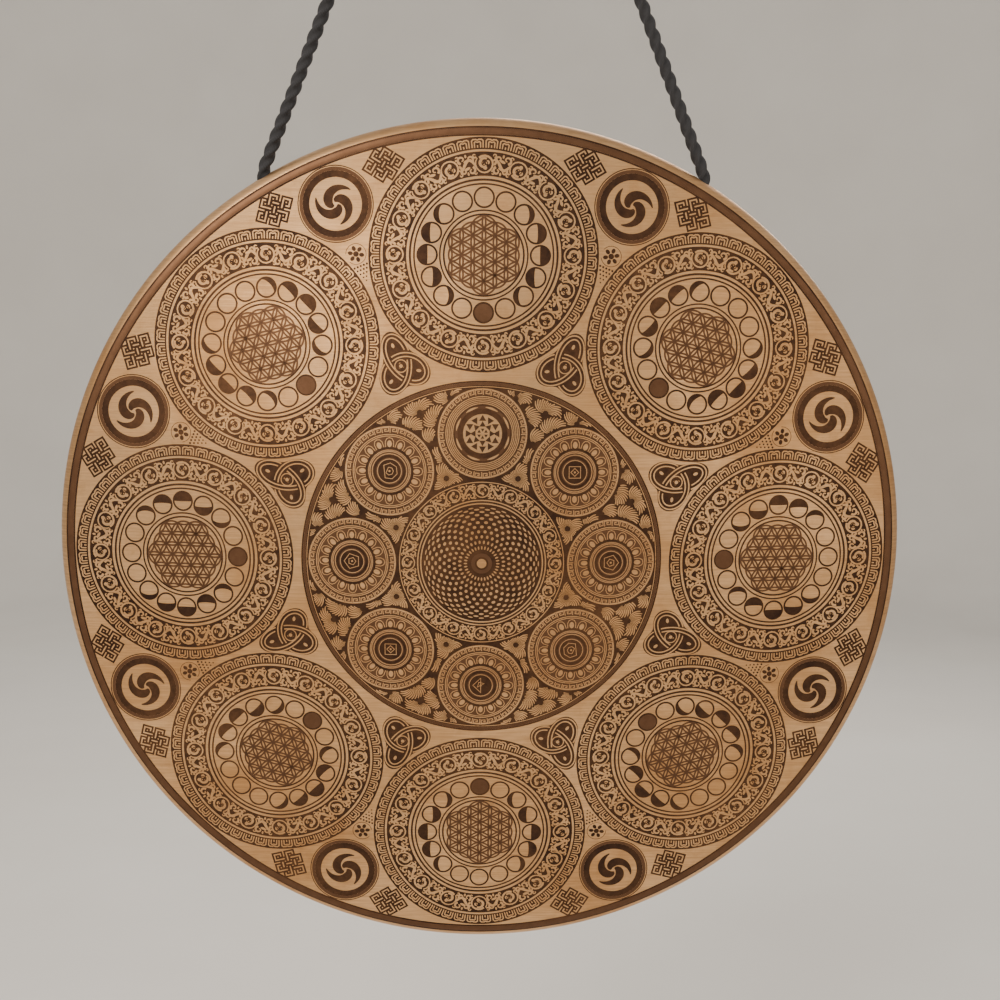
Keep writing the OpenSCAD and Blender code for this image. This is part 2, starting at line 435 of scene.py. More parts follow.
# Hand-beaten bronze, brushed and then let tarnish: a metal with fine brushing
# that runs across the face, warm brown clouds and a paler shine between them.
BRUSH_MM = 1.6  # coarser than the real brushing, so that it shows
CLOUD_MM = 140.0
bronze, tree, skin, place = new_finish("brushed_hammered_bronze", 0.36, 1.0)
brush_at = add(tree, "Mapping", {"Vector": place, "Rotation": (0, math.radians(7), 0),
                                 "Scale": (0.045, 0.045, 1.0)})
brush = add(tree, "TexNoise", {"Vector": brush_at.outputs[0], "Scale": 1000 / BRUSH_MM,
                               "Detail": 4.0, "Roughness": 0.62})
cross_at = add(tree, "Mapping", {"Vector": place, "Rotation": (0, math.radians(-38), 0),
                                 "Scale": (0.03, 0.03, 1.0)})
cross = add(tree, "TexNoise", {"Vector": cross_at.outputs[0], "Scale": 1000 / BRUSH_MM, "Detail": 3.0})
clouds = add(tree, "TexNoise", {"Vector": place, "Scale": 1000 / CLOUD_MM, "Detail": 5.0,
                                "Roughness": 0.6, "Distortion": 0.6})
spots = add(tree, "TexNoise", {"Vector": place, "Scale": 1000 / 16, "Detail": 6.0, "Roughness": 0.7})
cloud = add(tree, "MapRange", {0: clouds.outputs["Fac"], 1: 0.36, 2: 0.66})
spot = add(tree, "MapRange", {0: spots.outputs["Fac"], 1: 0.52, 2: 0.75, 4: 0.35})
grain = add(tree, "MapRange", {0: brush.outputs["Fac"], 1: 0.34, 2: 0.68})
warm = add(tree, "Mix", {0: cloud.outputs[0], 6: colour("#DBB081"), 7: colour("#BC8E5E")}, data_type="RGBA")
dull = add(tree, "Mix", {0: spot.outputs[0], 6: warm.outputs[2], 7: colour("#93673F")}, data_type="RGBA")
lined = add(tree, "Math", {0: grain.outputs[0], 1: 0.42}, operation="MULTIPLY")
streaked = add(tree, "Mix", {0: lined.outputs[0], 6: dull.outputs[2], 7: colour("#8C6746")},
               data_type="RGBA")
tree.links.new(streaked.outputs[2], skin.inputs["Base Color"])
dullness = add(tree, "Math", {0: cloud.outputs[0], 1: 0.14, 2: 0.33}, operation="MULTIPLY_ADD")
gloss = add(tree, "Math", {0: grain.outputs[0], 1: 0.1, 2: dullness.outputs[0]}, operation="MULTIPLY_ADD")
tree.links.new(gloss.outputs[0], skin.inputs["Roughness"])
both = add(tree, "Math", {0: cross.outputs["Fac"], 1: 0.4, 2: brush.outputs["Fac"]},
           operation="MULTIPLY_ADD")
scratch = add(tree, "Bump", {"Height": both.outputs[0], "Strength": 0.25, "Distance": 0.0004})
tree.links.new(scratch.outputs["Normal"], skin.inputs["Normal"])

sheet = make("gong_sheet", hung(np.vstack(points)), sheet_faces, [bronze], sharp=50)
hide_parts("gong")
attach(sheet, "gong")


# ------------------------------ Rim lines
# The face is decorated by etching: the metal is masked, bitten dark by acid and
# rubbed back, so lines stand bright on a dark ground. A band of two dark lines
# with a brown one between them goes round just inside the bent edge.
LIFT = 0.06  # each layer of the etching over the one below
SUNK = 0.4  # how far a layer's underside is in the sheet
GRID = 4.5  # largest step of a layer, to follow the sheet
RIM_GRID = 1.5  # and on the bend of the rim
DARK, BRIGHT, BROWN = 0, 1, 2  # finishes of a layer

# Etched and oxidised bronze: almost matt, dark brown, with a paler mottle where
# the rubbing back has reached the ground.
patina, tree, skin, place = new_finish("etched_dark_bronze", 0.58, 0.75)
mottle = add(tree, "TexNoise", {"Vector": place, "Scale": 1000 / 9, "Detail": 6.0, "Roughness": 0.72})
worn = add(tree, "TexNoise", {"Vector": place, "Scale": 1000 / 150, "Detail": 3.0})
rubbed = add(tree, "Math", {0: mottle.outputs["Fac"], 1: worn.outputs["Fac"]}, operation="MULTIPLY")
amount = add(tree, "MapRange", {0: rubbed.outputs[0], 1: 0.14, 2: 0.42})
etched_tone = add(tree, "Mix", {0: amount.outputs[0], 6: colour("#2C190E"), 7: colour("#5B3D26")},
                  data_type="RGBA")
tree.links.new(etched_tone.outputs[2], skin.inputs["Base Color"])
pitted = add(tree, "Bump", {"Height": mottle.outputs["Fac"], "Strength": 0.3, "Distance": 0.0003})
tree.links.new(pitted.outputs["Normal"], skin.inputs["Normal"])

# The same ground where it was bitten only lightly: mid brown, half bright.
half_bitten, tree, skin, place = new_finish("lightly_etched_bronze", 0.48, 0.9)
mottle = add(tree, "TexNoise", {"Vector": place, "Scale": 1000 / 12, "Detail": 6.0, "Roughness": 0.7})
half_tone = add(tree, "Mix", {0: mottle.outputs["Fac"], 6: colour("#4C3323"), 7: colour("#6E503A")},
                data_type="RGBA")
tree.links.new(half_tone.outputs[2], skin.inputs["Base Color"])
FINISHES = [patina, bronze, half_bitten]


def spread(start, stop, gap):
    """Even places from start to stop, no further apart than gap."""
    return np.linspace(start, stop, max(1, math.ceil(abs(stop - start) / gap)) + 1)


def polar(radius, turn):
    """Places at a radius and an angle, which is from the top and clockwise."""
    return joined(radius * np.sin(turn), radius * np.cos(turn))


def annulus(outer, inner, gap=GRID):
    """A ring-shaped patch about the middle of a motif."""
    turn = full_turn(max(24, math.ceil(2 * math.pi * outer / gap)))
    return polar(spread(outer, inner, gap), turn[:, None]), True


def stroke(points, width, closed=False):
    """A drawn line of one width, or with a width for each of its points."""
    points = np.asarray(points, float)
    widths = np.broadcast_to(np.asarray(width, float), len(points)).astype(float)
    if closed:
        points, widths = np.vstack([points, points[:1]]), np.append(widths, widths[0])
    pieces, spans = [points[:1]], [widths[:1]]
    for a, b, wa, wb in zip(points[:-1], points[1:], widths[:-1], widths[1:]):
        parts = max(1, math.ceil(float(np.hypot(*(b - a))) / GRID))
        share = np.arange(1, parts + 1)[:, None] / parts
        pieces.append(a + (b - a) * share)
        spans.append(wa + (wb - wa) * share[:, 0])
    points, widths = np.vstack(pieces), np.concatenate(spans)
    if closed:
        points, widths = points[:-1], widths[:-1]
        before, after = np.roll(points, 1, 0), np.roll(points, -1, 0)
    else:
        before, after = np.vstack([points[:1], points[:-1]]), np.vstack([points[1:], points[-1:]])
    to, away = points - before, after - points
    if not closed:
        to[0], away[-1] = away[0], to[-1]
    to, away = unit(to), unit(away)
    normal = unit(joined(to[:, 1] + away[:, 1], -to[:, 0] - away[:, 0]) + 1e-9)
    reach = widths / 2 / np.clip(normal[:, 0] * to[:, 1] - normal[:, 1] * to[:, 0], 0.6, 1)
    return np.stack([points + normal * reach[:, None], points - normal * reach[:, None]], 1), closed


def dot(x, z, radius, squeeze=1.0, turned=0.0, cells=3):
    """A round or oval spot. Turned is from upright, clockwise."""
    side = np.linspace(-1, 1, cells + 1)
    a, b = np.meshgrid(side, side, indexing="ij")
    u, v = radius * squeeze * a * np.sqrt(1 - b * b / 2), radius * b * np.sqrt(1 - a * a / 2)
    cos, sin = math.cos(turned), math.sin(turned)
    return joined(x + u * cos + v * sin, z - u * sin + v * cos), False


def arc(x, z, radius, start, stop, gap=1.6):
    """Points of an arc; angles are from the top, clockwise, in degrees."""
    return polar(radius, np.radians(spread(start, stop, math.degrees(gap / radius)))) + (x, z)


def placed(patches, radius, angle, turned=0.0):
    """Patches of a motif put at a radius and angle of the gong, facing out."""
    own = angle + turned
    across, out = np.array([math.cos(own), -math.sin(own)]), np.array([math.sin(own), math.cos(own)])
    middle = polar(radius, angle)
    return [(middle + grid[..., :1] * across + grid[..., 1:] * out, closed) for grid, closed in patches]


def put(layers, radius, angle, turned=0.0):
    """The layers of a motif, all put at one place."""
    return [(finish, height, placed(patches, radius, angle, turned)) for finish, height, patches in layers]


def etched(name, layers):
    """One piece from layers of (finish, height in lifts, patches)."""
    flats, lifts, faces, kinds, count = [], [], [], [], 0
    for finish, height, patches in layers:
        for grid, closed in patches:
            rows, columns = grid.shape[:2]
            a, b = grid[1, 0] - grid[0, 0], grid[0, 1] - grid[0, 0]
            if a[0] * b[1] - a[1] * b[0] < 0:
                grid = grid[:, ::-1]
            flats += [grid.reshape(-1, 2)] * 2
            lifts += [np.full(rows * columns, height * LIFT), np.full(rows * columns, -SUNK)]
            last = rows if closed else rows - 1
            i, j = np.meshgrid(np.arange(last), np.arange(columns - 1), indexing="ij")
            n = (i + 1) % rows
            lid = joined(i * columns + j, n * columns + j, n * columns + j + 1, i * columns + j + 1)
            lid = lid.reshape(-1, 4)
            under = rows * columns
            base = lid[:, ::-1] + under
            edge, nxt = np.arange(last), (np.arange(last) + 1) % rows
            lo, hi = edge * columns, nxt * columns
            near = joined(lo, lo + under, hi + under, hi)
            lo, hi = lo + columns - 1, hi + columns - 1
            far = joined(hi, hi + under, lo + under, lo)
            parts = [lid, base, near, far]
            if not closed:
                c = np.arange(columns - 1)
                parts.append(joined(c + 1, c + 1 + under, c + under, c))
                c = c + (rows - 1) * columns
                parts.append(joined(c, c + under, c + 1 + under, c + 1))
            quads = np.vstack(parts)
            faces.append(quads + count)
            kinds.append(np.full(len(quads), finish))
            count += 2 * under
    flat, lift = np.vstack(flats), np.concatenate(lifts)
    x, z = flat[:, 0], flat[:, 1]
    solid = hung(joined(x, face_depth(x, z) - lift, z))
    quads, kinds = np.vstack(faces)[:, ::-1], np.concatenate(kinds)
    used = sorted(set(kinds.tolist()))
    piece = make(name, solid, quads.tolist(), [FINISHES[k] for k in used], sharp=40)
    piece.data.polygons.foreach_set("material_index", np.searchsorted(used, kinds))
    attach(piece, "gong")
    return piece


etched("rim_lines", [(BROWN, 1, [annulus(389.95, 384.45, RIM_GRID)]),
                     (DARK, 1, [annulus(391.6, 390.0, RIM_GRID), annulus(384.4, 382.9, RIM_GRID)])])


# ------------------------------ Medallions
# Eight round medallions stand in a ring, each turned with its place, so that
# its key pattern, leaf scroll, sixteen moons and flower of circles all point
# outwards. In the two outer bands bright lines are left on the bitten ground.
MEDALLION_RING = 278.2
EIGHTHS = [math.radians(45 * k) for k in range(8)]
KEY_UNITS = 48
KEY_R = 94.2  # inner edge of the key pattern
KEY_WIDTH = 11.6  # one unit of the key, as it is drawn
KEY = [[(1.2, 0.2), (1.2, 6.8), (2.4, 8.0), (4.6, 8.0), (5.8, 7.2), (7.0, 8.0), (9.2, 8.0),
        (10.4, 6.8), (10.4, 0.2)],
       [(3.3, 0.2), (3.3, 5.0), (4.2, 5.9), (5.8, 5.2), (7.4, 5.9), (8.3, 5.0), (8.3, 0.2)],
       [(5.8, 0.2), (5.8, 2.6)]]
SCROLL_R = 80.3  # middle of the leaf scroll
SCROLL_N = 16  # its whorls
WHORL_STEP = 31  # between two whorls, as they are drawn
# Curls of the scroll round each whorl: middle, outer and inner radius, start
# and sweep in degrees, and width at the thick and the thin end.
WHORL = [(0, 0, 8.0, 7.0, -130, 350, 1.0, 2.0), (-0.4, -0.6, 4.6, 2.4, 150, 250, 1.6, 3.4)]
SPRAYS = [(11.6, 5.4, 3.5, 1.0, 200, 340, 2.3, 0.9), (19.4, -5.4, 3.5, 1.0, 20, 340, 2.3, 0.9),
          (12.2, -4.9, 3.0, 0.9, -20, -330, 2.2, 0.8), (18.8, 4.9, 3.0, 0.9, 160, -330, 2.2, 0.8),
          (8.0, 7.6, 1.9, 0.8, 230, -300, 1.6, 0.8), (-8.2, -7.4, 1.9, 0.8, 50, -300, 1.6, 0.8),
          (8.2, -7.6, 1.7, 0.8, 0, 300, 1.5, 0.8), (-8.0, 7.6, 1.7, 0.8, 180, 300, 1.5, 0.8)]
LEAVES = [(0.6, 3.0, 2.3, 0.8, 20), (-3.1, -1.6, 2.0, 0.8, 100), (2.9, -1.4, 1.9, 0.9, 0),
          (15.5, 3.3, 2.8, 0.45, 75), (15.5, -3.3, 2.8, 0.45, 75), (15.5, 7.8, 1.6, 0.6, 0),
          (15.5, -7.8, 1.6, 0.6, 0), (9.6, -1.2, 2.2, 0.5, -25), (21.4, 1.2, 2.2, 0.5, -25)]
MOON_RING = 51.0
MOON_R = 8.8
MOONS = {45: (0.24, 1), 67.5: (0.42, 1), 90: (0.52, 1), 112.5: (0.42, -1), 135: (0.24, -1)}
FLOWER_R = 11.6  # one circle of the flower


def bent(points, radius):
    """A flat strip's points laid round a circle: along it, and out from it."""
    points = np.asarray(points, float)
    return polar(radius + points[:, 1], points[:, 0] / radius)


def key_ring(base, units, paths, drawn, height, width):
    """A running key pattern round a circle, from the lines of one unit."""
    size = 2 * math.pi * base / units
    fit = np.array([size / drawn, height])
    return [stroke(bent(np.array(path) * fit + np.array([k * size, 0]), base), width)
            for k in range(units) for path in paths]


def curl(x, z, start_r, end_r, start, sweep, wide, narrow):
    """A leaf curl: a spiral line that changes its width as it winds in."""
    share = np.linspace(0, 1, max(7, int(abs(sweep) / 20)))
    angle = np.radians(start + sweep * share)
    line = polar(start_r + (end_r - start_r) * share, angle) + (x, z)
    return line, wide + (narrow - wide) * share


def leaf_scroll(radius, scale):
    """A running scroll as wide as its band: bright leaves, and dark veins on them."""
    size = 2 * math.pi * radius / SCROLL_N / scale
    step = np.array([size / WHORL_STEP, 1])
    wave = np.linspace(0, 1, 11)
    stem = joined(7 + 17 * wave, 4.2 * np.sin(2 * math.pi * wave - 2.4)), 1.1 + 1.6 * np.sin(math.pi * wave)
    bright, dark = [], []
    for k in range(SCROLL_N):
        hand = np.array([1, 1 if k % 2 else -1])
        shift = np.array([k * size, 0])
        for line, widths in [curl(*whorl) for whorl in WHORL + SPRAYS] + [stem]:
            bright.append(stroke(bent((line * step * hand + shift) * scale, radius), widths * scale))
        for x, z, leaf, squeeze, turned in LEAVES:
            at = (np.array([x, z]) * step * hand + shift) * scale
            spot = bent([at], radius)[0]
            turned = math.radians(turned) * hand[1] + at[0] / radius
            bright.append(dot(*spot, leaf * scale, squeeze, turned))
        line, widths = curl(-0.2, -0.2, 3.4, 1.0, 40, 430, 0.9, 0.7)
        dark.append(stroke(bent((line * hand + shift) * scale, radius), widths * scale))
    return bright, dark


def moon(angle):
    """One moon of the ring: its outline, and its shade by how far round it is."""
    x, z = polar(MOON_RING, math.radians(angle))
    made = [stroke(arc(x, z, MOON_R, 0, 360)[:-1], 1.7, closed=True)]
    if abs(angle) in MOONS:
        share, way = MOONS[abs(angle)]
        v = np.linspace(-0.985, 0.985, 13)
        rim = np.sqrt(1 - v * v) * math.copysign(MOON_R, angle * way)
        shade = np.outer(rim, np.array([1, 1 - share, 1 - 2 * share]))
        made.append((joined(shade + x, v[:, None] * MOON_R + z), False))
    return made


def runs(keep):
    """First and last places of the stretches where keep holds."""
    ends = np.flatnonzero(np.diff(np.concatenate([[0], np.asarray(keep, int), [0]])))
    return [(a, b) for a, b in zip(ends[::2], ends[1::2]) if b - a > 2]


def gapped(line, keep, width):
    """A closed line, drawn only where keep holds."""
    if keep.all():
        return [stroke(line, width, closed=True)]
    first = int(np.argmin(keep))
    line, keep = np.roll(line, -first, 0), np.roll(keep, -first)
    return [stroke(line[a:b], width) for a, b in runs(keep)]


def flower_of_circles(radius, width):
    """Nineteen overlapping circles, and parts of their neighbours inside them."""
    centres = [(radius * r * math.sqrt(3) / 2, radius * (q + r / 2))
               for q in range(-6, 7) for r in range(-4, 5)]
    whole = np.array([c for c in centres if math.hypot(*c) < 2.1 * radius])
    lines = []
    for x, z in centres:
        if math.hypot(x, z) < 3.7 * radius:
            ring = arc(x, z, radius, 0, 360, gap=1.5)[:-1]
            keep = np.linalg.norm(ring[:, None] - whole[None], axis=2).min(1) < radius * 1.001
            lines += gapped(ring, keep, width)
    return lines


moons = [180.0] + [22.5 * k for k in range(-7, 8)]
leaves, veins = leaf_scroll(SCROLL_R, 1.0)
# Each annulus is given by its outer and inner radius.
medallion = [
    (DARK, 1, [annulus(104.0, 69.8), annulus(67.5, 65.6), annulus(63.6, 62.1), annulus(40.4, 39.0),
               annulus(36.9, 35.3)] + [patch for angle in moons for patch in moon(angle)]),
    (BROWN, 1, [dot(0, -MOON_RING, MOON_R - 0.3, cells=6)] + flower_of_circles(FLOWER_R, 1.7)),
    (BRIGHT, 2, key_ring(KEY_R, KEY_UNITS, KEY, KEY_WIDTH, 0.93, 1.15) + [annulus(93.0, 91.1)] + leaves),
    (DARK, 3, veins)]
for number, angle in enumerate(EIGHTHS):
    etched(f"medallion_{number + 1}", put(medallion, MEDALLION_RING, angle))


# ------------------------------ Roundels and small motifs
# Between the medallions stand eight roundels with a plain three-armed swirl,
# sixteen endless knots, eight small rosettes with a tail of dots, and eight
# trefoils of interlaced cord, in bright lines on a dark ground.
ROUNDEL_RING = 348.6
KNOT_RING = 368.4
KNOT_OFF = math.radians(8.3)
KNOT_STEP = 6.0  # between two cords of an endless knot
KNOT_BAND = 4.8  # one cord with its dark edges
KNOT_THREAD = 1.3  # its bright middle line
SWIRL_R = 16.5  # reach of a swirl's arm, beyond its start
SWIRL_TURN = 3.3  # how far an arm winds, in radians
ROSETTE_RING = 301.0
INTERLACE_RING = 190.8
BETWEEN = [math.radians(22.5 + 45 * k) for k in range(8)]

swirl = []
for k in range(3):
    share = np.linspace(0, 1, 22)
    line = polar(2.0 + SWIRL_R * share, 2 * math.pi * k / 3 + SWIRL_TURN * share ** 0.8)
    swirl.append(stroke(line, 0.9 + 7.6 * np.sin(math.pi * share ** 0.75) ** 0.9))
roundel = [(BROWN, 1, [annulus(32.7, 29.65)]),
           (DARK, 1, [annulus(34.3, 33.4), annulus(29.6, 23.7)]), (DARK, 2, swirl)]


def endless_knot():
    """Three cords each way, woven over and under, joined in six loops outside."""
    corners = [(-1, -2), (-1, 2), (0, 2), (0, -2), (1, -2), (1, 2), (2, 2), (2, 1), (-2, 1), (-2, 0),
               (2, 0), (2, -1), (-2, -1), (-2, -2), (-1, -2)]
    path = np.array(corners, float) * np.array([KNOT_STEP, -KNOT_STEP])
    threads = []
    for a, b in zip(path[:-1], path[1:]):
        line = a + (b - a) * spread(0, 1, KNOT_STEP / 8 / np.hypot(*(b - a)))[:, None]
        keep = np.ones(len(line), bool)
        for i in (-1, 0, 1):
            for j in (-1, 0, 1):
                upright = a[0] == b[0]
                if (i + j) % 2 != upright:
                    gap = np.linalg.norm(line - np.array([i, j]) * KNOT_STEP, axis=1)
                    keep &= gap > KNOT_BAND / 2 - 0.1
        ahead = (b - a) / np.hypot(*(b - a)) * 0.67
        for first, stop in runs(keep):
            piece = line[first:stop].copy()
            piece[0] -= ahead * (first == 0)
            piece[-1] += ahead * (stop == len(line))
            threads.append(stroke(piece, KNOT_THREAD))
    return [(DARK, 1, [stroke(path[:-1], KNOT_BAND, closed=True)]), (BRIGHT, 2, threads)]


rosette = [(DARK, 1, [dot(*polar(5.2, a), 2.4, 0.75, a) for a in full_turn(6)]
            + [stroke(arc(0, 0, 9.2, -70, 250)[:-1], 0.5), dot(0, 0, 2.6)]
            + [dot(x, -11.5 - 3.4 * row, 1.05 - 0.08 * row, cells=2) for row in range(5)
               for x in (np.arange(5 - row) - (4 - row) / 2) * 3.0])]
CORD_EDGE = 1.7  # from the middle of an interlaced cord to its edge line
CORD_LINE = 1.2  # width of an edge line
CORD_CLEAR = 3.1  # room that the cord on top takes from the one below
CORD_SIZE = np.array([7.5, 9.4])  # a third of a lobe's reach, across and along
GROUND_R = 20.6  # mean radius of the dark ground, before it is drawn out
GROUND_LOBE = 5.2  # and how far its three lobes go beyond that


def interlace():
    """A trefoil of one endless cord, over and under itself, on a three-lobed ground."""
    t = full_turn(144)
    middle = np.array([0, 3.0])
    cord = joined(np.sin(t) + 2 * np.sin(2 * t), 2 * np.cos(2 * t) - np.cos(t)) * CORD_SIZE + middle
    way = np.roll(cord, -1, 0) - np.roll(cord, 1, 0)
    across = unit(joined(-way[:, 1], way[:, 0]))
    apart = np.abs((t[:, None] - t + math.pi) % (2 * math.pi) - math.pi) > 0.7
    above = apart & (np.sin(3 * t) > np.sin(3 * t)[:, None])
    light = [dot(0, middle[1], 1.7), stroke(arc(0, middle[1], 5.6, 0, 360)[:-1], 0.9, closed=True)]
    for turn in full_turn(3):
        light.append(dot(15.6 * math.sin(turn), middle[1] + 19.5 * math.cos(turn), 2.3, 0.6, turn))
    for side in (-CORD_EDGE, CORD_EDGE):
        line = cord + across * side
        gap = np.linalg.norm(line[:, None] - cord, axis=2)
        light += gapped(line, np.where(above, gap, 99).min(1) > CORD_CLEAR, CORD_LINE)
    turn = full_turn(72)
    edge = joined(np.sin(turn), np.cos(turn) * CORD_SIZE[1] / CORD_SIZE[0])
    edge *= (GROUND_R + GROUND_LOBE * np.cos(3 * turn))[:, None]
    body = edge[:, None] * np.linspace(1, 0.1, 8)[:, None] + middle
    return [(DARK, 1, [(body, True), dot(0, middle[1], 2.6)]), (BRIGHT, 2, light)]


for name, layers, ring, turned, places in (
        ("roundels", roundel, ROUNDEL_RING, 0.0, [0.0]),
        ("rosettes", rosette, ROSETTE_RING, 0.0, [0.0]),
        ("endless_knots", endless_knot(), KNOT_RING, math.radians(-45), [-KNOT_OFF, KNOT_OFF]),
        ("interlaced_knots", interlace(), INTERLACE_RING, 0.0, [0.0])):
    etched(name, [layer for angle in BETWEEN for off in places
                  for layer in put(layers, ring, angle + off, turned)])


# ------------------------------ Middle field
# The middle of the face is one dark disc. Fans of curved bright strokes fill it,
# eight lesser medallions stand in a ring, and a woven rosette with a bright
# boss lies at the centre inside its own leaf scroll.
FIELD_R = 166.9
FIELD_EDGE = 161.0
LESSER_RING = 119.4
LESSER_R = 42.2
ROSE_R = 76.4
FAN_R = 14.9
FAN_STROKES = 30
FAN_HEART = 2.6  # dark heart of a fan
# Fans of one eighth: radius, and degrees from the gap between two lesser
# medallions. Each lies over the ones before it.
FANS = [(157, -16.5), (157, 16.5), (158, -5.5), (158, 5.5), (142, -10), (142, 10), (127, -6.5),
        (127, 6.5), (110, -5), (110, 5), (92, -4), (92, 4), (154, -11.3), (154, 11.3), (149, 0),
        (136, -5.8), (136, 5.8), (119, 0), (102, -3.6), (102, 3.6), (88, -8.5), (88, 8.5), (85, 0)]

etched("middle_ground", [(DARK, 1, [annulus(FIELD_R, 165.5), annulus(162.9, 2.0), dot(0, 0, 3, cells=4)]),
                         (BROWN, 1, [annulus(165.45, 162.95)]), (BRIGHT, 2, [annulus(161.9, 161.3)])])

lesser_middles = polar(LESSER_RING, np.array(EIGHTHS))
fans = [(radius, gap + math.radians(off)) for radius, off in FANS for gap in BETWEEN]
fan_middles = polar(*np.array(fans).T)
share = np.linspace(0, 1, 9)
fan_r = FAN_HEART + (FAN_R - FAN_HEART - 0.2) * share
fan_width = 2 * math.pi * fan_r / FAN_STROKES * (0.62 - 0.3 * share ** 6)
fan_width *= 0.7 + 0.3 * np.sin(math.pi * share)
fan_strokes = []
for number, (radius, facing) in enumerate(fans):
    for k in range(FAN_STROKES):
        swing = facing + 2 * math.pi * k / FAN_STROKES + 0.6 * share ** 1.4
        line = fan_middles[number] + polar(fan_r, swing)
        out = np.hypot(line[:, 0], line[:, 1])
        keep = (out < FIELD_EDGE - 0.6) & (out > ROSE_R + 1.4)
        keep &= np.linalg.norm(line[:, None] - lesser_middles, axis=2).min(1) > LESSER_R + 0.8
        over_it = fan_middles[number + 1:]
        if len(over_it):
            keep &= np.linalg.norm(line[:, None] - over_it, axis=2).min(1) > FAN_R + 0.5
        fan_strokes += [stroke(line[a:b], fan_width[a:b]) for a, b in runs(keep) if b - a > 3]
half = len(fan_strokes) // 2
etched("fans_outer", [(BRIGHT, 2, fan_strokes[:half])])
etched("fans_inner", [(BRIGHT, 2, fan_strokes[half:])])

LESSER_KEY = [[(0.5, 0.0), (0.5, 5.0), (5.9, 5.0), (5.9, 1.4), (2.6, 1.4), (2.6, 3.3), (4.2, 3.3)]]
HOOD = [(-3.6, 21.8), (-3.8, 26.7), (-2.5, 29.4), (0, 30.3), (2.5, 29.4), (3.8, 26.7), (3.6, 21.8)]
sixteenths = [math.radians(22.5 * k) for k in range(16)]
beads = [dot(*polar(24.8, a), 3.1, 0.7, a) for a in sixteenths]
hoods = [placed([stroke(HOOD, 0.65)], 0, a)[0] for a in sixteenths]
lesser_frame = [annulus(40.6, 39.8), annulus(33.7, 32.9), annulus(32.1, 31.4)]
lesser_frame += key_ring(34.8, 32, LESSER_KEY, 6.6, 0.94, 0.75)
lesser_rings = [annulus(r, r - 0.65) for r in (19.4, 18.2, 16.1, 11.3)]


def lesser_sign(number):
    """A plain sign for a lesser medallion's heart: polygons, not all even, round a dot."""
    corners = 3 + number % 4
    signs = [stroke(arc(0, 0, size, first, first + 360, gap=size * 2 * math.pi / corners)[:corners],
                    0.6, closed=True) for size, first in ((7.4, 0), (3.6, 180 / corners))]
    return signs + [dot(0, 0, 1.0, cells=2)]


def triangle(radius, angle, size, turned):
    """A filled triangle at a place of a ring, pointing out or in."""
    flat = size * np.array([[(-0.87, -0.5), (0, 1)], [(0, -0.5), (0.87, -0.5)]])
    return placed([(flat, False)], radius, math.radians(angle), turned)[0]


for number, angle in enumerate(EIGHTHS):
    if number == 0:
        bows = [stroke(arc(0, 0, 23.9, 45 * k + 6, 45 * k + 39, gap=2.2)[:7],
                       [0.5, 1.2, 1.7, 1.9, 1.7, 1.2, 0.5]) for k in range(8)]
        bright_rings = [annulus(r, r - 0.7) for r in (30.6, 29.0, 27.5)]
        heart = [(BRIGHT, 2, bows + bright_rings + [annulus(17.7, 2.0), dot(0, 0, 3)]),
                 (DARK, 2, [annulus(26.2, 25.1), annulus(22.6, 18.0)]),
                 (DARK, 3, [triangle(13.4, 30 * k, 3.7, math.pi * (k % 2)) for k in range(12)]
                  + [triangle(8.0, 45 * k, 3.3, 0.0) for k in range(8)]
                  + [triangle(3.6, 60 * k, 1.9, math.pi) for k in range(6)])]
    else:
        heart = [(DARK, 2, [annulus(22.0, 20.2), annulus(14.8, 12.4), annulus(10.4, 2.0), dot(0, 0, 3)]),
                 (BRIGHT, 2.5, beads + hoods + lesser_rings + lesser_sign(number))]
    ground = [(BROWN, 1.5, [annulus(LESSER_R - 0.05, 2.0), dot(0, 0, 3, cells=4)]),
              (DARK, 2, [annulus(LESSER_R, 41.0), annulus(34.6, 33.9)]), (BRIGHT, 2.5, lesser_frame)]
    etched(f"lesser_medallion_{number + 1}", put(ground + heart, LESSER_RING, angle))

# The rosette's lozenges stand in staggered rows, so that they line up in spirals.
ROWS_OUT = 11
SPIRALS = 32
row_places = np.concatenate([[-0.7], np.arange(ROWS_OUT), [ROWS_OUT - 0.2]])
row_r = 54 * np.sin(np.radians(16 + 5.9 * row_places))
pitch = 2 * math.pi / SPIRALS
lozenges = []
for spiral in range(SPIRALS):
    for row in range(1, ROWS_OUT + 1):
        turn, r = pitch * (spiral + row_places[row] / 2), row_r[row]
        tall, wide = 0.26 * (row_r[row + 1] - r) + 0.35, 0.25 * pitch * r
        lozenges.append(dot(*polar(r, turn), tall, wide / tall, turn, cells=2))
leaves, veins = leaf_scroll(67.4, 0.76)
etched("centre_rosette", [
    (DARK, 1.5, [annulus(ROSE_R, 2.0), dot(0, 0, 3, cells=4)]),
    (BROWN, 2, [annulus(9.6, 6.2)]),
    (BRIGHT, 3, [annulus(59.3, 58.2), annulus(56.5, 55.3), annulus(75.9, 75.1), dot(0, 0, 4.4, cells=5)]
     + lozenges + leaves),
    (DARK, 4, veins)])


# ------------------------------ Hooks
# Two steel screw hooks, bent from 8 mm wire and zinc plated. A wood thread is
# rolled on the upper end, a collar seats against the beam, and the wire's end
# is rounded so that it can't cut the rope.
HOOK_X = 95.0
WIRE_R = 4.0
BOW_R = 18.0
BOW_Z = -30.0
SHANK = 32.0
THREAD_STEP = 3.2
THREAD_CORE = 2.9
THREAD_END = 5.0  # the thread stops this far above the collar
COLLAR_R = 9.0
COLLAR_T = 3.0
BOW_TURN = 285.0

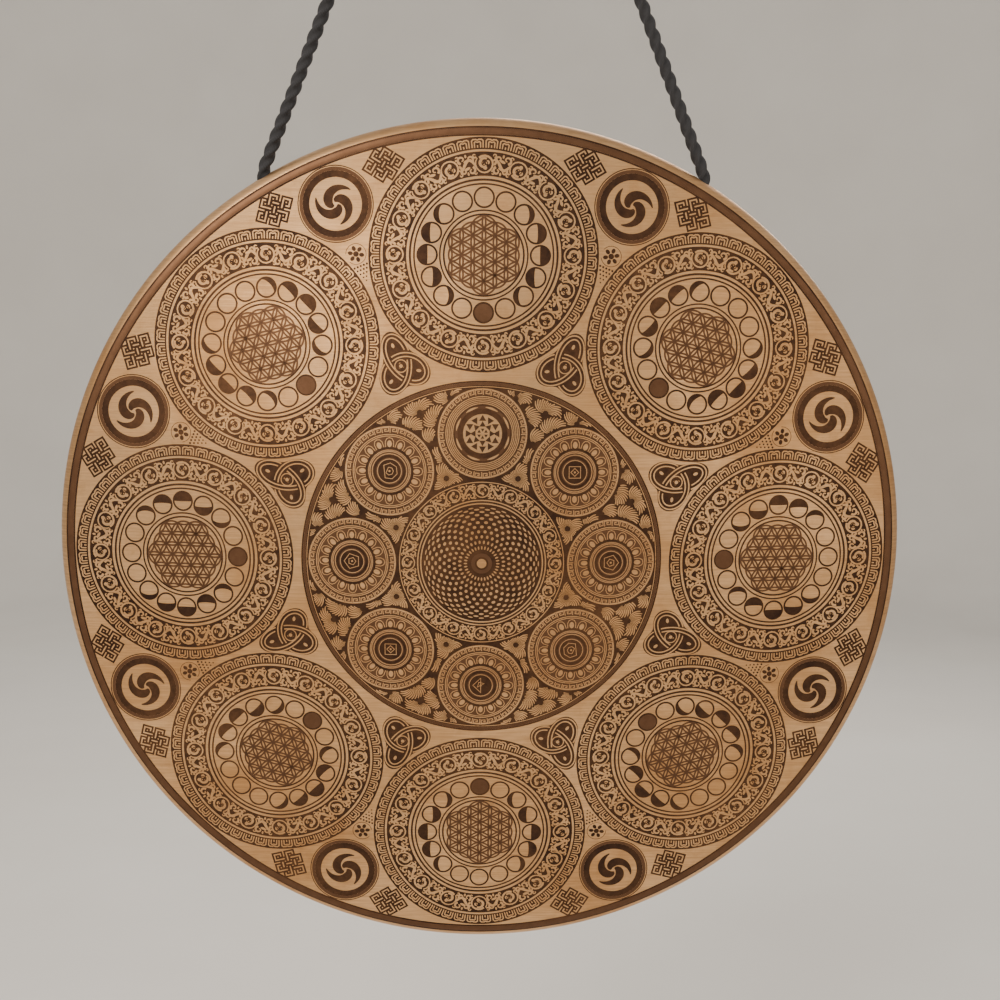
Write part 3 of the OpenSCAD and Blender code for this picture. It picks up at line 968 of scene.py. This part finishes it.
# Bright zinc plate on steel wire: a cool, slightly cloudy metal with faint
# drawing marks along the wire.
zinc, tree, skin, place = new_finish("zinc_plated_steel", 0.3, 1.0)
bloom = add(tree, "TexNoise", {"Vector": place, "Scale": 1000 / 6, "Detail": 4.0})
drawn = add(tree, "TexNoise", {"Vector": place, "Scale": 1000 / 0.7, "Detail": 2.0})
plate = add(tree, "Mix", {0: bloom.outputs["Fac"], 6: colour("#B4B7BC"), 7: colour("#8F9499")},
            data_type="RGBA")
tree.links.new(plate.outputs[2], skin.inputs["Base Color"])
cloudy = add(tree, "MapRange", {0: bloom.outputs["Fac"], 1: 0.3, 2: 0.7, 3: 0.24, 4: 0.42})
tree.links.new(cloudy.outputs[0], skin.inputs["Roughness"])
fine = add(tree, "Bump", {"Height": drawn.outputs["Fac"], "Strength": 0.15, "Distance": 0.0002})
tree.links.new(fine.outputs["Normal"], skin.inputs["Normal"])

shank_z = np.concatenate([np.arange(SHANK, 0.1, -0.4), [0.05], np.linspace(0, -COLLAR_T, 9), [-3.05],
                          np.arange(-3.5, -6.6, -0.6)])
sides = 40
around = full_turn(sides)
bow_turn = np.radians(np.linspace(112, 90 + BOW_TURN, 96))
bow = joined(BOW_R * np.cos(bow_turn), BOW_Z + BOW_R * np.sin(bow_turn))
share = np.linspace(0, 1, 16)[1:-1, None]
neck_a, neck_b = np.array([0, shank_z[-1]]), bow[0]
pull_a, pull_b = np.array([0, -9.0]), unit(bow[1] - bow[0]) * 11.0
neck = ((2 * share ** 3 - 3 * share ** 2 + 1) * neck_a + (share ** 3 - 2 * share ** 2 + share) * pull_a
        + (3 * share ** 2 - 2 * share ** 3) * neck_b + (share ** 3 - share ** 2) * pull_b)
wire = np.vstack([joined(0.0, shank_z), neck, bow])
wire_path = joined(wire[:, 0], 0.0, wire[:, 1])
girth = np.full((len(wire), sides), WIRE_R)
for i, z in enumerate(shank_z):
    if z >= 0.1:
        phase = (z / THREAD_STEP + around / (2 * math.pi)) % 1
        thread = THREAD_CORE + 1.1 * np.clip(1 - np.abs(phase - 0.5) * 3.6, 0, 1)
        girth[i] = (thread if z >= THREAD_END else WIRE_R) * min(1, 0.14 + (SHANK - z) / 9)
    elif z >= -COLLAR_T - 0.01:
        girth[i] = COLLAR_R - 0.9 * max(0, abs(z + COLLAR_T / 2) - 0.8) ** 1.5
left_over = np.linalg.norm(np.diff(wire_path[::-1], axis=0), axis=1).cumsum()
TIP_SWELL = 0.7  # the rounded end is a little thicker
tip = WIRE_R + TIP_SWELL
for i, length in enumerate(np.concatenate([[0], left_over])):
    if length < 11:
        bulge = WIRE_R + TIP_SWELL * math.exp(-((length - tip) / 3.2) ** 2)
        cap = math.sqrt(max(0.0, 1 - (1 - min(1, length / tip)) ** 2))
        girth[len(wire) - 1 - i] = max(0.25, bulge * cap)
hook_points = swept(wire_path, joined(girth * np.cos(around), girth * np.sin(around)))
for side, flip in MIRROR.items():
    hook = make("screw_hook_" + side, (hook_points + np.array([HOOK_X, 0, 0])) * flip,
                tube_faces(len(wire), sides), [zinc], sharp=48)
    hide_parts("hook_" + side)
    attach(hook, "hooks")


# ------------------------------ Room and light
# A round studio: a pale floor well below the gong that rises into a pale wall,
# and large soft lamps, the main one high on the left of the camera.
FLOOR_Z = -1500.0
FLOOR_R = 4200.0
COVE_R = 1400.0
WALL_TOP = 2600.0
cove = np.linspace(0, math.pi / 2, 16)[1:]
floor_r = np.concatenate([np.linspace(60, FLOOR_R, 24), FLOOR_R + COVE_R * np.sin(cove),
                          np.full(6, FLOOR_R + COVE_R)])
floor_z = np.concatenate([np.full(24, FLOOR_Z), FLOOR_Z + COVE_R - COVE_R * np.cos(cove),
                          np.linspace(FLOOR_Z + COVE_R, WALL_TOP, 7)[1:]])
round_n = 96
turn = full_turn(round_n)
bowl = joined(np.outer(floor_r, np.cos(turn)), np.outer(floor_r, np.sin(turn)), floor_z[:, None])
bowl_faces = ring_quads(len(floor_r), round_n)[..., [0, 3, 2, 1]].reshape(-1, 4).tolist()
bowl_faces.append(list(range(round_n))[::-1])
paper, tree, skin, place = new_finish("pale_studio_paper", 0.85, 0.0)
fibre = add(tree, "TexNoise", {"Vector": place, "Scale": 3.0, "Detail": 3.0})
paper_tone = add(tree, "Mix", {0: fibre.outputs["Fac"], 6: colour("#D9D6D1"), 7: colour("#E3E1DD")},
                 data_type="RGBA")
tree.links.new(paper_tone.outputs[2], skin.inputs["Base Color"])
floor = make("studio_floor", bowl, bowl_faces, [paper])

world = bpy.data.worlds.new("studio")
world.use_nodes = True
bpy.context.scene.world = world
world.node_tree.nodes["Background"].inputs["Color"].default_value = colour("#F2EEE8")
world.node_tree.nodes["Background"].inputs["Strength"].default_value = 0.8
MIDDLE = Vector((0, 0, -0.62))
for name, spot, size, power, tint in (
        ("key_lamp", (-1.5, -2.2, 0.9), 1.5, 100.0, "#FFF4E6"),
        ("fill_lamp", (1.9, -1.9, -0.2), 1.8, 18.0, "#FFF1E0"),
        ("back_lamp", (0.8, 2.3, 0.9), 1.8, 40.0, "#FFF6EC")):
    lamp = bpy.data.lights.new(name, "AREA")
    lamp.size, lamp.energy, lamp.color = size, power, colour(tint)[:3]
    holder = bpy.data.objects.new(name, lamp)
    holder.location = spot
    holder.rotation_euler = (MIDDLE - Vector(spot)).to_track_quat("-Z", "Y").to_euler()
    bpy.context.scene.collection.objects.link(holder)
